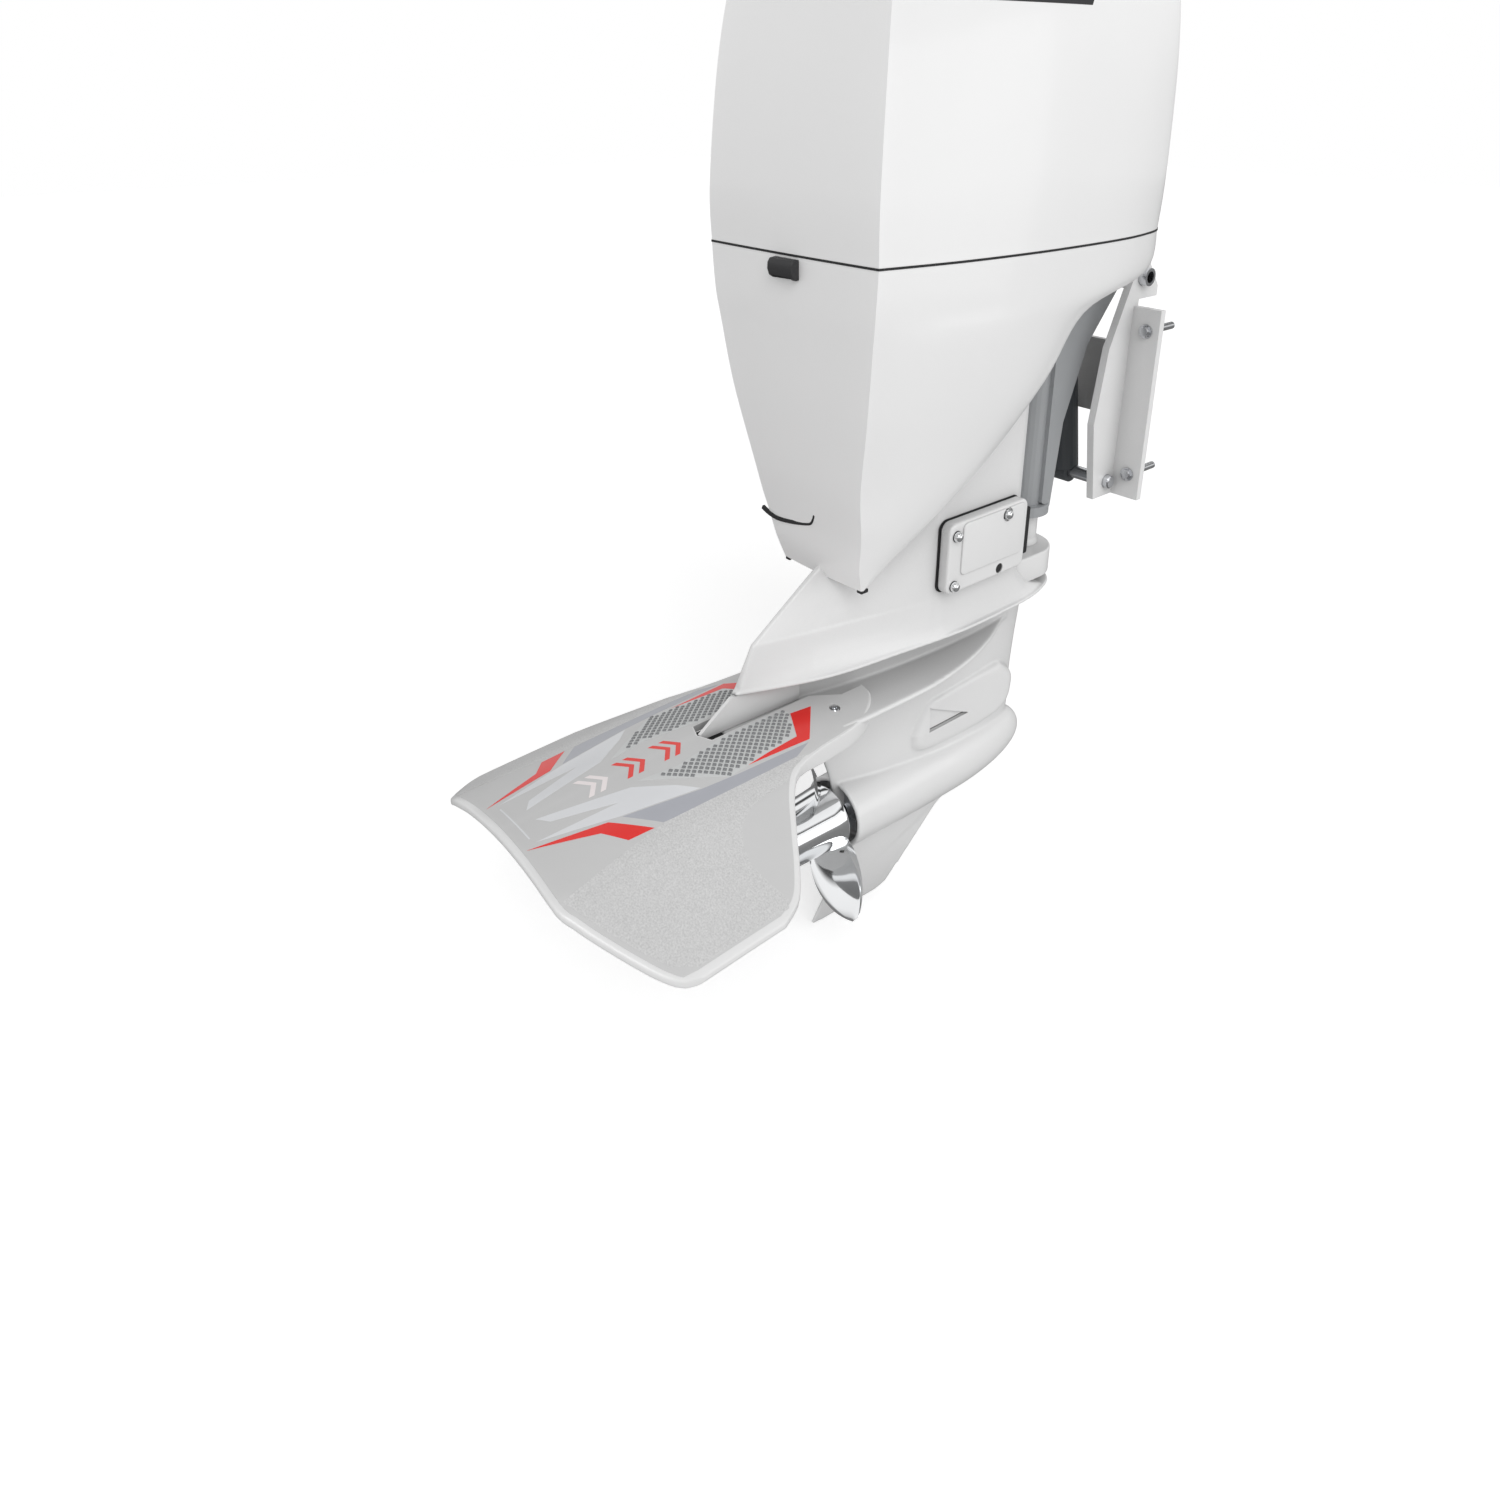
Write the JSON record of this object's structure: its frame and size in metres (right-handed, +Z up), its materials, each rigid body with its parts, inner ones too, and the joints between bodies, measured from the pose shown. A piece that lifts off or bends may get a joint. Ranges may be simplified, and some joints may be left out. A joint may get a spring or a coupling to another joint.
{
  "type": "outboard motor",
  "caption": "White outboard motor with transom bracket, power tilt, gearcase, skeg, steel propeller and bolt-on hydrofoil.",
  "frame": {"origin": "centre of the face that rests on the boat's transom, on the centre plane", "axes": "+Z up, +Y forward towards the boat, +X starboard"},
  "size_m": [0.504, 1.173, 1.553],
  "materials": {
    "white_paint": "gloss",
    "cowl_white": "gloss",
    "grey_paint": "satin",
    "foil_plastic": "satin, grained top",
    "stainless": "polished",
    "shaft_steel": "brushed",
    "cast_alloy": "cast",
    "forged_iron": "machined",
    "dark_paint": "satin",
    "black_rubber": "matt",
    "black_plastic": "satin"
  },
  "bodies": {
    "transom_bracket": {"clamp_bracket_starboard": "white_paint", "clamp_bracket_port": "white_paint", "transom_cross_plate": "white_paint", "tilt_tube": "shaft_steel", "lower_tie_bar": "shaft_steel", "transom_bolt_upper_starboard": "shaft_steel", "transom_bolt_lower_starboard": "shaft_steel", "transom_bolt_upper_port": "shaft_steel", "transom_bolt_lower_port": "shaft_steel"},
    "swivel": {"swivel_bracket": "grey_paint"},
    "ram_barrel": {"tilt_cylinder": "dark_paint"},
    "ram_rod": {"tilt_ram_rod": "stainless"},
    "motor": {"steering_bracket": "white_paint", "steering_shaft": "shaft_steel", "lower_yoke": "white_paint", "upper_mount_starboard": "black_rubber", "upper_mount_port": "black_rubber", "lower_mount_starboard": "black_rubber", "lower_mount_port": "black_rubber", "mount_cover_starboard": "white_paint", "mount_cover_port": "white_paint", "mount_bolt_aft_starboard": "stainless", "mount_bolt_fore_starboard": "stainless", "mount_bolt_aft_port": "stainless", "mount_bolt_fore_port": "stainless", "midsection_housing": "white_paint", "gearcase_housing": "white_paint", "water_intake_starboard": "black_plastic", "water_intake_port": "black_plastic", "aft_fin": "white_paint", "bearing_carrier": "cast_alloy", "hydrofoil": "foil_plastic", "foil_screw_starboard": "stainless", "foil_screw_port": "stainless", "lower_cowl": "cowl_white", "powerhead_adapter": "cast_alloy", "engine_block": "cast_alloy", "cylinder_head": "cast_alloy", "valve_cover": "black_plastic", "intake_manifold": "black_plastic", "throttle_body": "cast_alloy", "engine_control_unit": "black_plastic", "starter_motor": "dark_paint", "oil_filter": "black_plastic", "flywheel_cover": "black_plastic"},
    "driveline": {"crankshaft": "forged_iron", "flywheel": "forged_iron", "drive_shaft": "shaft_steel", "pinion_gear": "forged_iron", "water_pump_impeller": "black_rubber"},
    "forward_drive": {"forward_gear": "forged_iron"},
    "reverse_drive": {"reverse_gear": "forged_iron"},
    "prop_drive": {"propeller_shaft": "shaft_steel", "propeller": "stainless", "propeller_nut": "stainless"},
    "clutch": {"clutch_dog": "forged_iron"},
    "shift": {"shift_rod": "shaft_steel"},
    "hood": {"top_cowl": "cowl_white"},
    "latch": {"cowl_latch": "black_plastic"}
  },
  "joints": [
    {"name": "tilt", "type": "hinge", "parent": "transom_bracket", "child": "swivel", "pos_m": [0, 0.005, 0.165], "axis": [-1, 0, 0], "range_deg": [-4, 66]},
    {"name": "steer", "type": "hinge", "parent": "swivel", "child": "motor", "pos_m": [0, -0.14, 0], "axis": [0, 0, 1], "range_deg": [-30, 30]},
    {"name": "ram_pivot", "type": "hinge", "parent": "transom_bracket", "child": "ram_barrel", "pos_m": [0, -0.03, -0.165], "axis": [1, 0, 0], "range_deg": [-0.24, 3.9]},
    {"name": "ram_stroke", "type": "slide", "parent": "ram_barrel", "child": "ram_rod", "axis": [0, -0.184, 0.9829], "range_m": [-0.00851, 0.14042]},
    {"name": "engine_spin", "type": "hinge", "parent": "motor", "child": "driveline", "pos_m": [0, -0.25, 0], "axis": [0, 0, 1], "continuous": true},
    {"name": "forward_gear_spin", "type": "hinge", "parent": "motor", "child": "forward_drive", "pos_m": [0, -0.25, -0.616], "axis": [0, 1, 0], "continuous": true},
    {"name": "reverse_gear_spin", "type": "hinge", "parent": "motor", "child": "reverse_drive", "pos_m": [0, -0.25, -0.616], "axis": [0, 1, 0], "continuous": true},
    {"name": "propeller_spin", "type": "hinge", "parent": "motor", "child": "prop_drive", "pos_m": [0, -0.626, -0.616], "axis": [0, 1, 0], "continuous": true},
    {"name": "shift_turn", "type": "hinge", "parent": "motor", "child": "shift", "pos_m": [0, -0.202, -0.2], "axis": [0, 0, 1], "range_deg": [-20, 20]},
    {"name": "clutch_slide", "type": "slide", "parent": "prop_drive", "child": "clutch", "axis": [0, 1, 0], "range_m": [-0.005, 0.005]},
    {"name": "cowl_lift", "type": "slide", "parent": "motor", "child": "hood", "axis": [0, 0, 1], "range_m": [0, 0.25]},
    {"name": "latch_swing", "type": "hinge", "parent": "motor", "child": "latch", "pos_m": [0, -0.6626, 0.226], "axis": [1, 0, 0], "range_deg": [0, 60]}
  ],
  "couplings": [
    {"joint": "ram_pivot", "follows": "tilt", "ratio": 0.05909},
    {"joint": "ram_stroke", "follows": "tilt", "m_per_rad": 0.1219},
    {"joint": "forward_gear_spin", "follows": "engine_spin", "ratio": -0.43333},
    {"joint": "reverse_gear_spin", "follows": "engine_spin", "ratio": 0.43333},
    {"joint": "shift_turn", "follows": "clutch_slide", "rad_per_m": 69.8}
  ]
}
